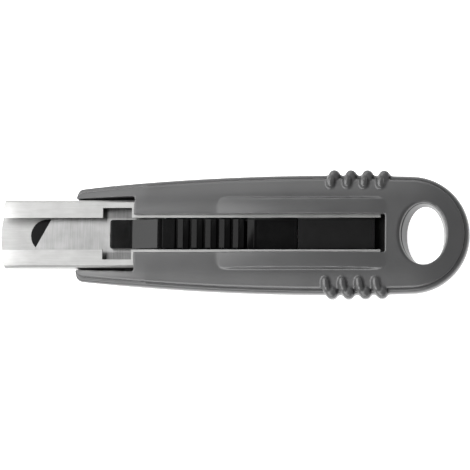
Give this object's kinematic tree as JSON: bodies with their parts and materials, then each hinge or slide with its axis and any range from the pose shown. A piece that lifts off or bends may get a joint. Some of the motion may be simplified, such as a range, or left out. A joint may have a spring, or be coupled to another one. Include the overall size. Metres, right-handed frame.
{
  "type": "utility knife",
  "caption": "Spring-return utility knife: moulded handle with a hanging ring, folded steel blade channel, trapezoid blade and a ribbed thumb slide with a release flap.",
  "frame": {"origin": "centre of the bounding box, on the flat back that the knife lies on", "axes": "+X from the blade nose to the hanging ring, +Y away from the cutting edge, +Z out of the thumb side"},
  "size_m": [0.1396, 0.0384, 0.0115],
  "materials": {
    "grey_plastic": "fine moulded texture, semi-gloss edges",
    "black_plastic": "satin moulded black",
    "stainless_sheet": "brushed stainless sheet",
    "blade_steel": "ground blade steel",
    "spring_steel": "drawn spring wire",
    "fixings": "zinc-plated steel"
  },
  "bodies": {
    "handle": {"front_shell": "grey_plastic", "back_shell": "grey_plastic", "blade_channel": "stainless_sheet", "rear_stop": "black_plastic", "return_spring": "spring_steel", "handle_screw_front_left": "fixings", "handle_screw_front_right": "fixings", "handle_screw_rear_left": "fixings", "handle_screw_rear_right": "fixings", "channel_rivet_left": "fixings", "channel_rivet_right": "fixings"},
    "slide": {"blade_carrier": "black_plastic", "blade": "blade_steel", "thumb_slider": "black_plastic", "flap_pin": "fixings"},
    "flap": {"release_flap": "black_plastic"}
  },
  "joints": [
    {"name": "blade_slide", "type": "slide", "parent": "handle", "child": "slide", "axis": [-1, 0, 0], "range_m": [0, 0.024], "stiffness_N_per_m": 60, "springref_m": -0.02, "deforming": ["return_spring"]},
    {"name": "flap_hinge", "type": "hinge", "parent": "slide", "child": "flap", "pos_m": [-0.02145, 0, 0.0077], "axis": [0, 1, 0], "range_deg": [0, 35]}
  ]
}
